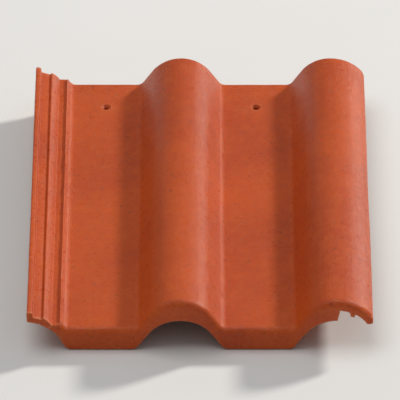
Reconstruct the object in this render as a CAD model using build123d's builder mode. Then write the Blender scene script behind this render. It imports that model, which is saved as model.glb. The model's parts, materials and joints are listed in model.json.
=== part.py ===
"""Interlocking clay roof tile with two rolls and two pans, lying as it rests on a level floor.

The sections are drawn in the tile's own cross-section: x runs from the crest line of the
middle roll to the right, and z from the top face of the pans upwards. The nose is at -Y and
the head, which hangs on the batten, at +Y.
"""

import os
from math import cos, radians, sin, sqrt, tan

from build123d import *

# Size of the whole tile, in millimetres
cover_width = 300.0
tile_length = 420.0
head_overhang = 27.0
wall = 11.0

# Rolls: height above the pans, radius of the crest, slope of the flanks and the round at their foot
roll_height = 32.0
crest_radius = 35.0
flank_angle = 55.0
foot_radius = 8.0

# Nose: how far one course stands above the one below, the round of the top edge and the
# clearance over the rolls that it covers
course_step = 24.0
nose_round = 7.0
lap_clearance = 1.5

# Cross ribs under the nose: the foot at the front edge, then shallower ribs with grooves between
foot_length = 12.0
rib_length = 8.0
groove_length = 12.0
rib_setback = 2.0
rib_count = 2

# Overlock: the right half of the right roll, which covers the next tile's joint. Its edge stands
# in from where the roll's foot would be, its shoulder is fuller than the crest, and the round of
# its top edge turns until it runs out of the shoulder. Its underside is drawn about a lower centre,
# which thins the wall from the crest to the edge.
seam_setback = 10.8
shoulder_swell = 5.0
overlock_wall = 10.0
underside_drop = 4.0
edge_height = 6.5
edge_round = 2.5
edge_turn = 60.0
lock_clearance = 1.5

# Underlock: the joint bed along the left side, under the next roll
bed_start = 4.0
weather_rib = 5.0
channel_width = 10.5
channel_floor = 5.7
channel_draft = 0.8
tongue_width = 3.8

# Nibs that hang on the batten, and nail holes beside it
nib_width = 30.0
nib_length = 18.0
nib_taper = 3.0
nail_radius = 3.0
nail_sink = 5.0
nail_setback = 15.0

# Rounds of the head's top edge, the foot's lower edge, the joints' outer edges and their inner corners
head_round = 2.5
foot_round = 2.0
arris_round = 1.5
corner_round = 1.0

# How far cuts run past the blank
spare = 5.0


def half_base(crest_z, radius, base_z, foot):
    """Half the width of a roll at its foot."""
    slope = radians(flank_angle)
    straight_rise = crest_z - base_z - (radius + foot) * (1 - cos(slope))
    return (radius + foot) * sin(slope) + straight_rise / tan(slope)


# Places that follow from the sizes
pitch = cover_width / 2
left_roll = -pitch
right_roll = pitch
nose_y = -tile_length / 2
head_y = tile_length / 2
nib_y = head_y - head_overhang
pan_top = course_step
overlock_reach = half_base(roll_height, crest_radius, 0, foot_radius) - seam_setback
left_edge = left_roll + bed_start
right_edge = right_roll + overlock_reach
middle_roll_x = -(left_edge + right_edge) / 2
shoulder_radius = crest_radius + shoulder_swell
shoulder_z = roll_height - shoulder_radius
lapped_z = shoulder_z - course_step
under_z = shoulder_z - underside_drop
under_radius = shoulder_radius - overlock_wall + underside_drop
bed_radius = under_radius - lock_clearance
bottom_radius = shoulder_radius + lap_clearance


def across(y):
    """Plane of the cross-section at y, with its origin on the middle roll at pan level."""
    return Plane(origin=(middle_roll_x, y, pan_top), x_dir=(1, 0, 0), z_dir=(0, -1, 0))


def on_circle(x, centre_z, radius, offset):
    """Upper point of a circle centred at (x, centre_z), offset to the side of its centre."""
    return (x + offset, centre_z + sqrt(radius**2 - offset**2))


def arc_between(x, centre_z, radius, first, last):
    """Arc over the top of a circle between two side offsets."""
    middle = (first + last) / 2
    return ThreePointArc(
        on_circle(x, centre_z, radius, first),
        on_circle(x, centre_z, radius, middle),
        on_circle(x, centre_z, radius, last),
    )


def flank_top(crest_z, radius):
    """Side offset and height at which the crest runs into its straight flank."""
    slope = radians(flank_angle)
    return radius * sin(slope), crest_z - radius * (1 - cos(slope))


def foot_arc(x, side, crest_z, radius, base_z, foot):
    """Round foot on one side of a roll, from the pan up to the straight flank."""
    half = half_base(crest_z, radius, base_z, foot)
    points = [
        (x + side * (half - foot * sin(turn)), base_z + foot * (1 - cos(turn)))
        for turn in (0, radians(flank_angle) / 2, radians(flank_angle))
    ]
    ThreePointArc(*points)
    return points[0], points[-1]


def flank(x, side, crest_z, radius, base_z, foot):
    """Round foot and straight flank on one side of a roll, from the pan up."""
    foot_point, flank_start = foot_arc(x, side, crest_z, radius, base_z, foot)
    top_offset, top_z = flank_top(crest_z, radius)
    Line(flank_start, (x + side * top_offset, top_z))
    return foot_point


def roll(x, crest_z, radius, base_z, foot):
    """Whole roll from its left foot to its right foot."""
    top_offset, _ = flank_top(crest_z, radius)
    left_foot = flank(x, -1, crest_z, radius, base_z, foot)
    arc_between(x, crest_z - radius, radius, -top_offset, top_offset)
    right_foot = flank(x, 1, crest_z, radius, base_z, foot)
    return left_foot, right_foot


def space_below(crest_z, radius, base_z, foot, under_overlock):
    """Outline of the space under the tile's pans, its middle roll and the near side of its right roll."""
    top_offset, _ = flank_top(crest_z, radius)
    floor_z = -course_step - spare
    left_x = left_edge - spare
    left_foot, left_shoulder = foot_arc(left_roll, 1, crest_z, radius, base_z, foot)
    middle_left, middle_right = roll(0, crest_z, radius, base_z, foot)
    right_foot = flank(right_roll, -1, crest_z, radius, base_z, foot)
    Line(left_foot, middle_left)
    Line(middle_right, right_foot)
    arc_between(right_roll, crest_z - radius, radius, -top_offset, 0)
    right_x = under_overlock[-1][0]
    Polyline((right_roll, crest_z), *under_overlock, (right_x, floor_z))
    Polyline((right_x, floor_z), (left_x, floor_z), (left_x, left_shoulder[1]), left_shoulder)


def long_edges(*points):
    """Edges along the whole tile that start at points of the cross-section."""
    chosen = []
    for edge in roof_tile.edges().filter_by(Axis.Y):
        middle = edge.center()
        place = (middle.X - middle_roll_x, middle.Z - pan_top)
        if any(abs(place[0] - x) < 0.01 and abs(place[1] - z) < 0.01 for x, z in points):
            chosen.append(edge)
    return chosen


def in_foot(edge):
    """Whether an edge lies in the nose face, lower than the wall of the pans."""
    middle = edge.center()
    return abs(middle.Y - nose_y) < 0.01 and middle.Z < pan_top - wall


# Edge of the overlock, and the gutter and lip of the joint bed that it runs in
edge_top_z = on_circle(right_roll, shoulder_z, shoulder_radius, overlock_reach)[1]
edge_bottom_z = edge_top_z - edge_height
gutter_z = edge_bottom_z - lock_clearance
lip = right_edge + lock_clearance - cover_width

with BuildPart() as roof_tile:
    # Blank under the whole top face, square below
    top_offset, _ = flank_top(roll_height, crest_radius)
    blank_right = (overlock_reach + shoulder_radius) / 2
    with BuildSketch(across(nose_y)):
        with BuildLine():
            left_top = on_circle(left_roll, roll_height - crest_radius, crest_radius, bed_start)
            right_top = on_circle(right_roll, shoulder_z, shoulder_radius, blank_right)
            arc_between(left_roll, roll_height - crest_radius, crest_radius, bed_start, top_offset)
            left_foot = flank(left_roll, 1, roll_height, crest_radius, 0, foot_radius)
            middle_left, middle_right = roll(0, roll_height, crest_radius, 0, foot_radius)
            right_foot = flank(right_roll, -1, roll_height, crest_radius, 0, foot_radius)
            arc_between(right_roll, roll_height - crest_radius, crest_radius, -top_offset, 0)
            arc_between(right_roll, shoulder_z, shoulder_radius, 0, blank_right)
            Line(left_foot, middle_left)
            Line(middle_right, right_foot)
            side_slope = blank_right / (right_top[1] - shoulder_z)
            right_bottom = (right_top[0] + (right_top[1] + course_step) / side_slope, -course_step)
            Polyline(right_top, right_bottom, (left_top[0], -course_step), left_top)
        make_face()
    extrude(amount=-tile_length)
    for end, end_round in ((0, nose_round), (-1, head_round)):
        end_edges = roof_tile.faces().sort_by(Axis.Y)[end].edges()
        top_edges = end_edges.filter_by(Axis.Z, reverse=True).sort_by(Axis.Z)[1:]
        fillet(top_edges, end_round)

    # Top of the joint bed: weather rib, channel, step and gutter up to the lip
    with BuildSketch(across(nose_y)) as bed_top:
        with BuildLine():
            rib_end = bed_start + weather_rib
            channel_end = rib_end + channel_width
            bed_end = sqrt(bed_radius**2 - (gutter_z - under_z) ** 2)
            floor_radius = bottom_radius + channel_floor
            bed_offsets = (0, rib_end, channel_end, bed_end)
            bed = [on_circle(left_roll, under_z, bed_radius, offset) for offset in bed_offsets]
            floor_offsets = (rib_end + channel_draft, channel_end - channel_draft)
            channel = [on_circle(left_roll, lapped_z, floor_radius, offset) for offset in floor_offsets]
            arc_between(left_roll, under_z, bed_radius, 0, rib_end)
            Line(bed[1], channel[0])
            arc_between(left_roll, lapped_z, floor_radius, *floor_offsets)
            Line(channel[1], bed[2])
            arc_between(left_roll, under_z, bed_radius, channel_end, bed_end)
            above = roll_height + spare
            Polyline(bed[3], (lip, gutter_z), (lip, above), (left_roll, above), bed[0])
        make_face()
        fillet(bed_top.vertices().group_by(Axis.Y)[0], corner_round)
    extrude(amount=-tile_length, mode=Mode.SUBTRACT)

    # Underside of the joint bed, over the next roll of the course below
    with BuildSketch(across(nose_y)):
        with BuildLine():
            bottom_end = sqrt(bottom_radius**2 - (lapped_z + course_step + spare) ** 2)
            low_point = on_circle(left_roll, lapped_z, bottom_radius, bottom_end)
            arc_between(left_roll, lapped_z, bottom_radius, 0, bottom_end)
            Polyline(low_point, (left_roll, low_point[1]), (left_roll, lapped_z + bottom_radius))
        make_face()
    extrude(amount=-tile_length, mode=Mode.SUBTRACT)

    # Underside and edge of the overlock, with the tongue that runs in the next tile's channel
    with BuildSketch(across(nose_y)):
        with BuildLine():
            tongue_middle = bed_start + weather_rib + channel_width / 2
            tongue_radius = floor_radius + lock_clearance
            tongue = (tongue_middle - tongue_width / 2, tongue_middle + tongue_width / 2)
            root = (tongue[0] - channel_draft, tongue[1] + channel_draft)
            edge_inside = sqrt(under_radius**2 - (edge_bottom_z - under_z) ** 2)
            cut_start = bed_start - lap_clearance
            floor_z = -course_step - spare
            under_offsets = (cut_start, *root, edge_inside)
            under = [on_circle(right_roll, under_z, under_radius, offset) for offset in under_offsets]
            tip = [on_circle(right_roll, lapped_z, tongue_radius, offset) for offset in tongue]
            arc_between(right_roll, under_z, under_radius, cut_start, root[0])
            Line(under[1], tip[0])
            arc_between(right_roll, lapped_z, tongue_radius, *tongue)
            Line(tip[1], under[2])
            arc_between(right_roll, under_z, under_radius, root[1], edge_inside)
            far_x = right_bottom[0] + spare
            round_z = edge_top_z - edge_round
            round_turn = radians(edge_turn)
            round_in = edge_round * (1 - cos(round_turn))
            round_end = (right_edge - round_in, round_z + edge_round * sin(round_turn))
            Polyline(under[3], (right_edge, edge_bottom_z), (right_edge, round_z))
            RadiusArc((right_edge, round_z), round_end, -edge_round)
            Polyline(
                round_end,
                (round_end[0], roll_height),
                (far_x, roll_height),
                (far_x, floor_z),
                (under[0][0], floor_z),
                under[0],
            )
        make_face()
    extrude(amount=-tile_length, mode=Mode.SUBTRACT)

    # Space under the foot of the nose, then under the shallower ribs, then under the wall
    near_side = (under[0], (under[0][0] + spare / 2, under[0][1] - spare))
    for depth, start in ((course_step, nose_y), (course_step - rib_setback, nose_y + foot_length)):
        with BuildSketch(across(start)):
            with BuildLine():
                crest_z = roll_height - course_step + lap_clearance
                lapped_crest = crest_radius + lap_clearance
                space_below(crest_z, lapped_crest, -depth, foot_radius, near_side)
            make_face()
        extrude(amount=start - head_y, mode=Mode.SUBTRACT)
    for i in range(rib_count + 1):
        start = nose_y + foot_length + i * (groove_length + rib_length)
        end = head_y if i == rib_count else start + groove_length
        with BuildSketch(across(start)):
            with BuildLine():
                crest_z = roll_height - wall
                space_below(crest_z, crest_radius - wall, -wall, foot_radius + wall, near_side)
            make_face()
        extrude(amount=start - end, mode=Mode.SUBTRACT)

    # Nibs under the pans, square to the batten and sloped at the back
    for pan_x in (-pitch / 2, pitch / 2):
        with BuildSketch(Plane((middle_roll_x + pan_x, nib_y, 0), x_dir=(0, 1, 0), z_dir=(1, 0, 0))) as nib:
            nib_root = pan_top - wall
            Polygon(
                (0, 0),
                (nib_length - nib_taper, 0),
                (nib_length, nib_root),
                (0, nib_root),
                align=None,
            )
            fillet(nib.vertices().group_by(Axis.Y)[0], arris_round)
        extrude(amount=nib_width / 2, both=True)

    # Soft edges of the foot, the joints and the nibs, as a mould leaves them
    fillet(roof_tile.edges().filter_by(in_foot), foot_round)
    weather_rib_edges = [
        on_circle(left_roll, under_z, bed_radius, bed_start),
        bed[1],
        on_circle(left_roll, lapped_z, bottom_radius, bed_start),
    ]
    for point in (*weather_rib_edges, under[3]):
        fillet(long_edges(point), arris_round)
    for point in (*channel, bed[2], *tip, under[1], under[2]):
        fillet(long_edges(point), corner_round)

    # Nail holes, sunk at the top for the nail's head
    with Locations(*[(middle_roll_x + x, nib_y - nail_setback, pan_top) for x in (-pitch / 2, pitch / 2)]):
        CounterSinkHole(nail_radius, nail_sink, wall)

roof_tile.part.label = "roof_tile"
os.makedirs("parts", exist_ok=True)
export_step(roof_tile.part, "parts/roof_tile.step")
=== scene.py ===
"""Clay roof tile with two rolls and two pans, fired and coated with slip, on a plain pale floor."""

import json
import math

import bmesh
import bpy
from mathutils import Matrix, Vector


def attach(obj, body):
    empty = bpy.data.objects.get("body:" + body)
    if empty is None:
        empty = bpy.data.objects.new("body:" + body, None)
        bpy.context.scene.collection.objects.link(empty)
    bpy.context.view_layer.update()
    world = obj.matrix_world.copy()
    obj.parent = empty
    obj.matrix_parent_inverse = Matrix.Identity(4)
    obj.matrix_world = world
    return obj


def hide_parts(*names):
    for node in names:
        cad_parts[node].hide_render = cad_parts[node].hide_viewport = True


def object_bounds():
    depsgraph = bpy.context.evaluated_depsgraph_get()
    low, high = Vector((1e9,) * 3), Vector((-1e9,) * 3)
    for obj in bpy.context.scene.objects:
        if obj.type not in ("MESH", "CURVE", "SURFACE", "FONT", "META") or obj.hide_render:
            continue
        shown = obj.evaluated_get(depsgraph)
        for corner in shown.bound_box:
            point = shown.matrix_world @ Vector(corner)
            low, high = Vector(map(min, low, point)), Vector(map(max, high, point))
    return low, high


bl_info = {
    "name": "Interlocking clay roof tile",
    "version": (1, 0, 0),
    "blender": (4, 5, 0),
    "location": "View3D > Sidebar > Roof Tile",
    "description": "Dresses the fired clay tile and sets it on a plain studio floor",
    "category": "Object",
}

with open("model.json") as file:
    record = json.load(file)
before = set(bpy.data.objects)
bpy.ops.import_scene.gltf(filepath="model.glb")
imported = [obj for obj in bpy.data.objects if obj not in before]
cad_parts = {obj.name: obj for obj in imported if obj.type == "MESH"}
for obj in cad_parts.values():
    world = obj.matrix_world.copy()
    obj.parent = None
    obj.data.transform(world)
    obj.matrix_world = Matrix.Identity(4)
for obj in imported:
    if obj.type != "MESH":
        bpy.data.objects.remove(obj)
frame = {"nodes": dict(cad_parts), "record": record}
cad_low, cad_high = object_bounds()


class TileSettings(bpy.types.PropertyGroup):
    """Sizes of the fired surface, and the colours and gloss of the clay and its coat."""

    relief_step: bpy.props.FloatProperty(
        name="Relief step",
        description="Distance between the cuts that give the fired surface its relief",
        default=0.005,
        subtype="DISTANCE",
    )
    warp: bpy.props.FloatProperty(
        name="Warp",
        description="How far the kiln has drawn the broad surfaces",
        default=0.0006,
        precision=5,
        subtype="DISTANCE",
    )
    warp_size: bpy.props.FloatProperty(
        name="Warp size",
        description="Size of the hollows and swellings that the kiln has drawn",
        default=0.11,
        subtype="DISTANCE",
    )
    ripple: bpy.props.FloatProperty(
        name="Ripple",
        description="Height of the small waves left by the press",
        default=0.0004,
        precision=5,
        subtype="DISTANCE",
    )
    ripple_size: bpy.props.FloatProperty(
        name="Ripple size",
        description="Size of the small waves left by the press",
        default=0.018,
        subtype="DISTANCE",
    )
    chip: bpy.props.FloatProperty(
        name="Chips",
        description="Depth of the chips along the edges",
        default=0.0007,
        precision=5,
        subtype="DISTANCE",
    )
    chip_size: bpy.props.FloatProperty(
        name="Chip size",
        description="Size of the chips along the edges",
        default=0.011,
        subtype="DISTANCE",
    )
    smooth_angle: bpy.props.FloatProperty(
        name="Smooth angle",
        description="Edges that turn by more than this are shaded sharp",
        default=math.radians(32),
        subtype="ANGLE",
    )
    coat_colour: bpy.props.FloatVectorProperty(
        name="Coat",
        description="Main colour of the slip coat",
        default=(0.56, 0.074, 0.0030),
        size=3,
        subtype="COLOR",
    )
    coat_dark: bpy.props.FloatVectorProperty(
        name="Coat, dark clouds",
        description="Colour of the coat where the kiln left it darker",
        default=(0.43, 0.047, 0.0025),
        size=3,
        subtype="COLOR",
    )
    coat_pale: bpy.props.FloatVectorProperty(
        name="Coat, pale clouds",
        description="Colour of the coat where it is thin",
        default=(0.64, 0.114, 0.0060),
        size=3,
        subtype="COLOR",
    )
    coat_grit: bpy.props.FloatVectorProperty(
        name="Coat, grit",
        description="Colour of the grit that shows through the coat",
        default=(0.75, 0.30, 0.10),
        size=3,
        subtype="COLOR",
    )
    iron_colour: bpy.props.FloatVectorProperty(
        name="Iron spots",
        description="Colour of the dark spots of iron in the coat",
        default=(0.10, 0.022, 0.012),
        size=3,
        subtype="COLOR",
    )
    raw_colour: bpy.props.FloatVectorProperty(
        name="Raw clay",
        description="Colour of the bare clay under the tile",
        default=(0.50, 0.150, 0.062),
        size=3,
        subtype="COLOR",
    )
    raw_dark: bpy.props.FloatVectorProperty(
        name="Raw clay, dark clouds",
        description="Colour of the bare clay where it is darker",
        default=(0.40, 0.115, 0.050),
        size=3,
        subtype="COLOR",
    )
    raw_grit: bpy.props.FloatVectorProperty(
        name="Raw clay, grit",
        description="Colour of the grit in the bare clay",
        default=(0.74, 0.50, 0.36),
        size=3,
        subtype="COLOR",
    )
    # Paler clay on the sharp edges: wear where the coat is thin, and a painted highlight along the rounded
    # nose edge.
    arris_wear_and_highlight_colour: bpy.props.FloatVectorProperty(
        name="Worn arrises and painted highlight",
        description="Colour of the clay that shows where the edges are worn",
        default=(0.60, 0.165, 0.062),
        size=3,
        subtype="COLOR",
    )
    satin_smoothest: bpy.props.FloatProperty(
        name="Satin, smoothest",
        description="Roughness of the coat where it shines most",
        default=0.23,
        subtype="FACTOR",
    )
    satin_dullest: bpy.props.FloatProperty(
        name="Satin, dullest",
        description="Roughness of the coat where it shines least",
        default=0.44,
        subtype="FACTOR",
    )
    raw_roughness: bpy.props.FloatProperty(
        name="Raw roughness",
        description="Roughness of the bare clay",
        default=0.82,
        subtype="FACTOR",
    )


class StageSettings(bpy.types.PropertyGroup):
    """Floor, lamps and camera."""

    floor_colour: bpy.props.FloatVectorProperty(
        name="Floor",
        description="Colour of the floor",
        default=(0.80, 0.79, 0.77),
        size=3,
        subtype="COLOR",
    )
    floor_size: bpy.props.FloatProperty(
        name="Floor size",
        description="Side of the square floor",
        default=30.0,
        subtype="DISTANCE",
    )
    lamp_distance: bpy.props.FloatProperty(
        name="Lamp distance",
        description="Distance of both lamps from the tile",
        default=8.0,
        subtype="DISTANCE",
    )
    key_power: bpy.props.FloatProperty(
        name="Key lamp",
        description="Power of the main lamp",
        default=560.0,
        subtype="POWER",
    )
    key_size: bpy.props.FloatProperty(
        name="Key lamp size",
        description="Diameter of the main lamp",
        default=0.95,
        subtype="DISTANCE",
    )
    key_colour: bpy.props.FloatVectorProperty(
        name="Key lamp colour",
        description="Colour of the main lamp's light",
        default=(1.0, 0.97, 0.92),
        size=3,
        subtype="COLOR",
    )
    key_direction: bpy.props.FloatVectorProperty(
        name="Key lamp direction",
        description="Way from the tile to the main lamp, to the right and up the slope as on the roof",
        default=(0.70, 0.55, 0.446),
        size=3,
        subtype="DIRECTION",
    )
    softbox_power: bpy.props.FloatProperty(
        name="Softbox",
        description="Power of the broad lamp overhead, which opens the shadows",
        default=242.0,
        subtype="POWER",
    )
    softbox_size: bpy.props.FloatProperty(
        name="Softbox size",
        description="Side of the broad lamp overhead",
        default=6.4,
        subtype="DISTANCE",
    )
    softbox_direction: bpy.props.FloatVectorProperty(
        name="Softbox direction",
        description="Way from the tile to the broad lamp, overhead and a little to the left",
        default=(-0.28, 0.05, 1.0),
        size=3,
        subtype="DIRECTION",
    )
    sky_strength: bpy.props.FloatProperty(
        name="Soft light",
        description="Strength of the light from all round",
        default=0.28,
    )
    sky_colour: bpy.props.FloatVectorProperty(
        name="Soft light colour",
        description="Colour of the light from all round",
        default=(0.97, 0.985, 1.0),
        size=3,
        subtype="COLOR",
    )
    camera_distance: bpy.props.FloatProperty(
        name="Camera distance",
        description="Distance of the camera from the tile",
        default=6.1,
        subtype="DISTANCE",
    )
    camera_height: bpy.props.FloatProperty(
        name="Camera height angle",
        description="How far the camera looks down on the tile",
        default=math.radians(35),
        subtype="ANGLE",
    )
    lens: bpy.props.FloatProperty(
        name="Lens",
        description="Focal length of the camera in millimetres",
        default=560.0,
        unit="CAMERA",
    )


class Nodes:
    """Adds nodes to one material from left to right and links them."""

    columns = 12
    spacing = (200, -260)

    def __init__(self, name):
        self.material = bpy.data.materials.new(name)
        self.material.use_nodes = True
        self.tree = self.material.node_tree
        self.tree.nodes.clear()
        self.count = 0

    def add(self, kind, label="", **values):
        """A node of one kind, with its properties set."""
        node = self.tree.nodes.new(kind)
        node.label = label
        row, column = divmod(self.count, self.columns)
        node.location = (self.spacing[0] * column, self.spacing[1] * row)
        self.count += 1
        for key, value in values.items():
            setattr(node, key, value)
        return node

    def feed(self, socket, value):
        """Links a socket to another, or sets it."""
        if isinstance(value, bpy.types.NodeSocket):
            self.tree.links.new(value, socket)
        else:
            socket.default_value = value

    def noise(self, label, place, scale, detail, roughness):
        """Cloudy pattern with a given number of clouds to the metre."""
        node = self.add("ShaderNodeTexNoise", label)
        self.feed(node.inputs["Vector"], place)
        self.feed(node.inputs["Scale"], scale)
        self.feed(node.inputs["Detail"], detail)
        self.feed(node.inputs["Roughness"], roughness)
        return node.outputs["Fac"]

    def ramp(self, label, value, low, high):
        """Turns a value into a mask that goes smoothly from 0 at low to 1 at high."""
        node = self.add("ShaderNodeMapRange", label, interpolation_type="SMOOTHSTEP")
        self.feed(node.inputs["Value"], value)
        self.feed(node.inputs["From Min"], low)
        self.feed(node.inputs["From Max"], high)
        return node.outputs["Result"]

    def patches(self, label, place, scale, detail, roughness, low, high):
        """Mask of cloudy patches, 0 where the noise is below low and 1 above high."""
        cloudy = self.noise(label, place, scale, detail, roughness)
        return self.ramp(label, cloudy, low, high)

    def maths(self, operation, *values, label=""):
        """One sum of two or three values."""
        node = self.add("ShaderNodeMath", label, operation=operation)
        for socket, value in zip(node.inputs, values):
            self.feed(socket, value)
        return node.outputs[0]

    def mix(self, label, mask, first, second, strength=1.0):
        """Lays the second colour over the first by a mask, as strongly as asked."""
        if strength < 1:
            mask = self.maths("MULTIPLY", mask, strength)
        node = self.add("ShaderNodeMix", label, data_type="RGBA")
        self.feed(node.inputs["Factor"], mask)
        for name, colour in (("A", first), ("B", second)):
            if not isinstance(colour, bpy.types.NodeSocket):
                colour = (*colour, 1)
            self.feed(node.inputs[name], colour)
        return node.outputs["Result"]

    def stretched(self, label, place, scale):
        """Place with each axis scaled on its own."""
        node = self.add("ShaderNodeMapping", label)
        self.feed(node.inputs["Vector"], place)
        self.feed(node.inputs["Scale"], scale)
        return node.outputs["Vector"]

    def finish(self, surface):
        """Ends the material with its shader."""
        output = self.add("ShaderNodeOutputMaterial")
        self.feed(output.inputs["Surface"], surface.outputs["BSDF"])
        return self.material


def coat_reach(nodes, place, normal):
    """Mask of the slip coat: wherever the spray reached, with a ragged limit towards the underside."""
    round_the_edge = 0.28
    raggedness = 0.5
    facing = nodes.add("ShaderNodeSeparateXYZ", "Which way the surface faces")
    nodes.feed(facing.inputs[0], normal)
    ragged = nodes.noise("Ragged edge of the coat", place, scale=55, detail=4, roughness=0.6)
    ragged = nodes.maths("SUBTRACT", ragged, 0.5)
    reach = nodes.maths("MULTIPLY_ADD", ragged, raggedness, round_the_edge, label="Reach of the spray")
    sprayed = nodes.maths("ADD", facing.outputs["Z"], reach)
    return nodes.ramp("Coat over bare clay", sprayed, low=-0.12, high=0.18)


def scuffs(nodes, place):
    """Mask of the scuffs on the crests, where tiles have lain on each other."""
    lowest_scuff = cad_high.z - 0.009
    most_scuffed = cad_high.z - 0.001
    height = nodes.add("ShaderNodeSeparateXYZ", "Height on the tile")
    nodes.feed(height.inputs[0], place)
    crest = nodes.ramp("Crests of the rolls", height.outputs["Z"], lowest_scuff, most_scuffed)
    along = nodes.stretched("Scuffs along the rolls", place, (260.0, 60.0, 260.0))
    rubbed = nodes.patches("Scuffs", along, scale=1, detail=5, roughness=0.7, low=0.56, high=0.72)
    return nodes.maths("MULTIPLY", crest, rubbed, label="Scuffs on the crests")


def iron_spots(nodes, place):
    """Mask of the round spots that iron leaves in the fired clay, most of them hidden."""
    cells = nodes.add("ShaderNodeTexVoronoi", "Iron spots", feature="F1")
    nodes.feed(cells.inputs["Vector"], place)
    nodes.feed(cells.inputs["Scale"], 210.0)
    spots = nodes.ramp("Round spots", cells.outputs["Distance"], low=0.34, high=0.18)
    shown = nodes.patches("Spots that show", place, scale=160, detail=2, roughness=0.5, low=0.54, high=0.70)
    return nodes.maths("MULTIPLY", spots, shown)


def arris_wear_and_painted_highlight(nodes, place):
    """Mask of the sharp edges, where the coat is thin, and gone where they are chipped; it also paints a
    highlight along the rounded nose edge.
    """
    arris = nodes.add("ShaderNodeAttribute", "How sharp the edge is", attribute_name="arris")
    ragged = nodes.noise("Ragged wear", place, scale=260, detail=4, roughness=0.65)
    ragged = nodes.maths("SUBTRACT", ragged, 0.5)
    wear_and_highlight = nodes.maths("ADD", arris.outputs["Fac"], ragged)
    return nodes.ramp("Worn arrises and painted highlight", wear_and_highlight, low=0.34, high=0.66)


def coat_look(nodes, place, iron, grit, settings):
    """Colour of the coat: kiln clouds, mottling, streaks across the tile, scuffs, iron spots and grit."""
    clouds = nodes.patches("Kiln clouds", place, scale=9, detail=3, roughness=0.5, low=0.38, high=0.66)
    mottle = nodes.patches("Mottling", place, scale=95, detail=5, roughness=0.62, low=0.42, high=0.72)
    pores = nodes.patches("Fine mottling", place, scale=300, detail=4, roughness=0.7, low=0.46, high=0.68)
    across = nodes.stretched("Streaks across the tile", place, (14.0, 130.0, 30.0))
    streaks = nodes.patches("Streaks", across, scale=1, detail=4, roughness=0.6, low=0.45, high=0.75)

    colour = nodes.mix("Dark clouds", clouds, settings.coat_colour, settings.coat_dark, strength=0.7)
    colour = nodes.mix("Pale mottling", mottle, colour, settings.coat_pale, strength=0.40)
    colour = nodes.mix("Dark fine mottling", pores, colour, settings.coat_dark, strength=0.50)
    colour = nodes.mix("Pale streaks", streaks, colour, settings.coat_pale, strength=0.15)
    colour = nodes.mix("Scuffed coat", scuffs(nodes, place), colour, settings.coat_pale, strength=0.30)
    colour = nodes.mix("Iron spots on the coat", iron, colour, settings.iron_colour, strength=0.55)
    return nodes.mix("Grit on the coat", grit, colour, settings.coat_grit, strength=0.45)


def raw_look(nodes, place, grit, settings):
    """Colour of the bare clay below, with its own clouds and grit."""
    clouds = nodes.patches("Clay clouds", place, scale=30, detail=5, roughness=0.65, low=0.3, high=0.7)
    colour = nodes.mix("Bare clay", clouds, settings.raw_colour, settings.raw_dark)
    return nodes.mix("Grit in the clay", grit, colour, settings.raw_grit, strength=0.5)


def gloss_of_clay(nodes, place, coat, worn_and_painted_bright, settings):
    """Roughness: uneven satin on the coat, less of it where the sharp edges have lost their coat, and dull
    bare clay.
    """
    wear_on_gloss = 0.7
    satin = nodes.add("ShaderNodeMapRange", "Satin of the coat")
    uneven = nodes.noise("Uneven satin", place, scale=170, detail=5, roughness=0.7)
    nodes.feed(satin.inputs["Value"], uneven)
    nodes.feed(satin.inputs["From Min"], 0.36)
    nodes.feed(satin.inputs["From Max"], 0.64)
    nodes.feed(satin.inputs["To Min"], settings.satin_smoothest)
    nodes.feed(satin.inputs["To Max"], settings.satin_dullest)
    kept = nodes.maths("SUBTRACT", 1.0, nodes.maths("MULTIPLY", worn_and_painted_bright, wear_on_gloss))
    glossy = nodes.maths("MULTIPLY", coat, kept)
    gloss = nodes.add("ShaderNodeMix", "Gloss", data_type="FLOAT")
    nodes.feed(gloss.inputs["Factor"], glossy)
    nodes.feed(gloss.inputs["A"], settings.raw_roughness)
    nodes.feed(gloss.inputs["B"], satin.outputs["Result"])
    return gloss.outputs["Result"]


def grain_of_clay(nodes, place, iron):
    """Fine relief: grain, ripples across the tile, sand in the coat and pits at the iron spots."""
    ripple_share = 0.6
    sand_share = 0.35
    pit_share = 0.7
    grain = nodes.noise("Fine grain", place, scale=340, detail=6, roughness=0.72)
    across = nodes.stretched("Ripples across the tile", place, (20.0, 190.0, 60.0))
    ripples = nodes.noise("Ripples", across, scale=1, detail=4, roughness=0.6)
    sand = nodes.patches("Sand in the coat", place, scale=1500, detail=2, roughness=0.5, low=0.52, high=0.70)
    height = nodes.maths("MULTIPLY_ADD", ripples, ripple_share, grain, label="Grain and ripples")
    height = nodes.maths("ADD", height, nodes.maths("MULTIPLY", sand, sand_share), label="Sand")
    height = nodes.maths("SUBTRACT", height, nodes.maths("MULTIPLY", iron, pit_share), label="Pits")
    bump = nodes.add("ShaderNodeBump", "Relief of the surface")
    nodes.feed(bump.inputs["Height"], height)
    bump.inputs["Strength"].default_value = 0.6
    bump.inputs["Distance"].default_value = 0.0010
    return bump.outputs["Normal"]


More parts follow.
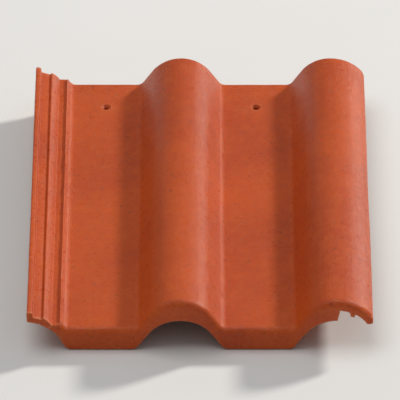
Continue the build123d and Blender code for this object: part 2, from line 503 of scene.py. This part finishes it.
def fired_clay(settings):
    """Satin slip coat over the top, nose and edges, and bare fired clay below."""
    nodes = Nodes("fired_clay")
    coordinates = nodes.add("ShaderNodeTexCoord")
    place = coordinates.outputs["Object"]
    coat = coat_reach(nodes, place, coordinates.outputs["Normal"])
    iron = iron_spots(nodes, place)
    grit = nodes.patches("Grit", place, scale=560, detail=2, roughness=0.6, low=0.66, high=0.73)
    worn_and_painted_bright = arris_wear_and_painted_highlight(nodes, place)

    coated = coat_look(nodes, place, iron, grit, settings)
    raw = raw_look(nodes, place, grit, settings)
    colour = nodes.mix("Coat over the clay", coat, raw, coated)
    # Paler clay at the arrises: wear, and a painted highlight along the rounded nose edge.
    colour = nodes.mix("Clay and painted highlight at the arrises", worn_and_painted_bright, colour, settings.arris_wear_and_highlight_colour, strength=0.75)

    surface = nodes.add("ShaderNodeBsdfPrincipled", "Fired clay")
    nodes.feed(surface.inputs["Base Color"], colour)
    nodes.feed(surface.inputs["Roughness"], gloss_of_clay(nodes, place, coat, worn_and_painted_bright, settings))
    nodes.feed(surface.inputs["Normal"], grain_of_clay(nodes, place, iron))
    surface.inputs["Specular IOR Level"].default_value = 0.34
    return nodes.finish(surface)


def pale_floor(settings):
    """Plain matt floor, a little uneven."""
    nodes = Nodes("studio_floor")
    place = nodes.add("ShaderNodeTexCoord").outputs["Object"]
    clouds = nodes.patches("Faint clouds", place, scale=1.5, detail=3, roughness=0.5, low=0.3, high=0.7)
    darker = tuple(part * 0.97 for part in settings.floor_colour)
    surface = nodes.add("ShaderNodeBsdfPrincipled", "Matt floor")
    nodes.feed(surface.inputs["Base Color"], nodes.mix("Floor", clouds, settings.floor_colour, darker))
    surface.inputs["Roughness"].default_value = 0.9
    return nodes.finish(surface)


def relief(tile, name, height, cloud_size, chips_on=""):
    """Raises and lowers the surface by a cloudy relief, or takes chips out of a group of vertices."""
    texture = bpy.data.textures.new(name, "CLOUDS")
    texture.noise_scale = cloud_size
    texture.noise_depth = 2
    modifier = tile.modifiers.new(name, "DISPLACE")
    modifier.texture = texture
    modifier.texture_coords = "LOCAL"
    modifier.mid_level = 0.5
    modifier.strength = height
    if chips_on:
        # A bright, hard texture leaves most of the edge whole, and chips go inwards only
        texture.contrast = 3.5
        texture.intensity = 1.25
        modifier.mid_level = 1.0
        modifier.vertex_group = chips_on
    bpy.ops.object.modifier_apply(modifier=name)
    bpy.data.textures.remove(texture)


def nail_hole_places():
    """Where the nail holes are, seen from above, as the record's mount gives them."""
    holes = next(mount for mount in frame["record"]["mounts"] if mount["name"] == "nail_holes")
    half_spacing = holes["dims"]["spacing_x_mm"] / 2000
    x, y, _ = holes["pos_m"]
    return [Vector((x - half_spacing, y)), Vector((x + half_spacing, y))]


def find_arrises(tile):
    """Notes at each vertex how far the surface turns outwards there, from 0 to 1 at a full arris."""
    full_arris = math.radians(60)
    least_chipped = 0.3
    nail_hole_rim = 0.009
    shape = bmesh.new()
    shape.from_mesh(tile.data)
    sharpness = [
        max(0.0, *(edge.calc_face_angle_signed(0.0) for edge in vertex.link_edges)) / full_arris
        for vertex in shape.verts
    ]
    shape.free()
    arris = tile.data.attributes.new("arris", "FLOAT", "POINT")
    arris.data.foreach_set("value", [min(value, 1.0) for value in sharpness])

    # The rims of the nail holes are left as they are: they are too small for chips
    nail_holes = nail_hole_places()
    group = tile.vertex_groups.new(name="arrises")
    for i, value in enumerate(sharpness):
        place = tile.data.vertices[i].co.xy
        if value > least_chipped and all((place - hole).length > nail_hole_rim for hole in nail_holes):
            group.add([i], min(value, 1.0), "REPLACE")


def cut_for_relief(step):
    """Merges the loose triangles of the active mesh, and cuts it often enough to take relief."""
    same_place = 0.00001
    bpy.ops.object.mode_set(mode="EDIT")
    bpy.ops.mesh.select_all(action="SELECT")
    bpy.ops.mesh.remove_doubles(threshold=same_place)
    bpy.ops.mesh.customdata_custom_splitnormals_clear()
    for axis in range(3):
        direction = Vector((0, 0, 0))
        direction[axis] = 1
        length = cad_high[axis] - cad_low[axis]
        cuts = round(length / step)
        for i in range(1, cuts):
            bpy.ops.mesh.select_all(action="SELECT")
            place = direction * (cad_low[axis] + length * i / cuts)
            bpy.ops.mesh.bisect(plane_co=place, plane_no=direction)
    bpy.ops.object.mode_set(mode="OBJECT")


class MakeTile(bpy.types.Operator):
    """Make the fired tile from a copy of the model's solid"""

    bl_idname = "roof_tile.make_tile"
    bl_label = "Make the Fired Tile"

    def execute(self, context):
        settings = context.scene.tile_settings
        bpy.ops.object.select_all(action="DESELECT")
        tile = frame["nodes"]["roof_tile"].copy()
        tile.data = tile.data.copy()
        tile.name = "fired_tile"
        tile.parent = None
        context.scene.collection.objects.link(tile)
        tile.select_set(True)
        context.view_layer.objects.active = tile

        cut_for_relief(settings.relief_step)
        find_arrises(tile)
        relief(tile, "kiln_warp", settings.warp, settings.warp_size)
        relief(tile, "press_ripple", settings.ripple, settings.ripple_size)
        relief(tile, "arris_chips", settings.chip, settings.chip_size, chips_on="arrises")
        bpy.ops.object.shade_smooth_by_angle(angle=settings.smooth_angle)

        tile.data.materials.clear()
        tile.data.materials.append(fired_clay(settings))
        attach(tile, "root")
        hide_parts("roof_tile")
        return {"FINISHED"}


def area_lamp(name, middle, direction, distance, power):
    """Area lamp at a distance from the tile, facing it."""
    towards = Vector(direction).normalized()
    bpy.ops.object.light_add(type="AREA", location=middle + towards * distance)
    lamp = bpy.context.active_object
    lamp.name = name
    lamp.data.energy = power
    lamp.rotation_euler = towards.to_track_quat("Z", "Y").to_euler()
    return lamp.data


class MakeStage(bpy.types.Operator):
    """Make the floor, the lamps and the camera"""

    bl_idname = "roof_tile.make_stage"
    bl_label = "Make the Stage"

    def execute(self, context):
        settings = context.scene.stage_settings
        middle = (cad_low + cad_high) / 2

        bpy.ops.object.select_all(action="DESELECT")
        bpy.ops.mesh.primitive_plane_add(size=settings.floor_size, location=(0, 0, 0))
        floor = context.active_object
        floor.name = "studio_floor"
        floor.data.materials.append(pale_floor(settings))

        distance = settings.lamp_distance
        key = area_lamp("key_lamp", middle, settings.key_direction, distance, settings.key_power)
        key.shape = "DISK"
        key.size = settings.key_size
        key.color = settings.key_colour
        softbox = area_lamp("softbox", middle, settings.softbox_direction, distance, settings.softbox_power)
        softbox.shape = "SQUARE"
        softbox.size = settings.softbox_size

        world = bpy.data.worlds.new("studio_light")
        context.scene.world = world
        world.use_nodes = True
        sky = world.node_tree.nodes["Background"]
        sky.inputs["Color"].default_value = (*settings.sky_colour, 1)
        sky.inputs["Strength"].default_value = settings.sky_strength

        height = settings.camera_height
        towards_camera = Vector((0, -math.cos(height), math.sin(height)))
        bpy.ops.object.camera_add(location=middle + towards_camera * settings.camera_distance)
        camera = context.active_object
        camera.name = "photo_camera"
        camera.rotation_euler = towards_camera.to_track_quat("Z", "Y").to_euler()
        camera.data.lens = settings.lens
        camera.data.clip_end = 100
        context.scene.camera = camera
        context.scene.view_settings.view_transform = "Standard"
        return {"FINISHED"}


class TilePanel(bpy.types.Panel):
    """Sidebar panel with the settings and buttons for the tile and the stage"""

    bl_idname = "VIEW3D_PT_roof_tile"
    bl_label = "Roof Tile"
    bl_space_type = "VIEW_3D"
    bl_region_type = "UI"
    bl_category = "Roof Tile"

    def draw(self, context):
        for maker, settings in (
            (MakeTile, context.scene.tile_settings),
            (MakeStage, context.scene.stage_settings),
        ):
            box = self.layout.box()
            for name in settings.__annotations__:
                box.prop(settings, name)
            box.operator(maker.bl_idname)


CLASSES = (TileSettings, StageSettings, MakeTile, MakeStage, TilePanel)


def register():
    for kind in CLASSES:
        bpy.utils.register_class(kind)
    bpy.types.Scene.tile_settings = bpy.props.PointerProperty(type=TileSettings)
    bpy.types.Scene.stage_settings = bpy.props.PointerProperty(type=StageSettings)


def unregister():
    del bpy.types.Scene.stage_settings
    del bpy.types.Scene.tile_settings
    for kind in reversed(CLASSES):
        bpy.utils.unregister_class(kind)


def main():
    register()
    bpy.ops.roof_tile.make_tile()
    bpy.ops.roof_tile.make_stage()


if __name__ == "__main__":
    main()
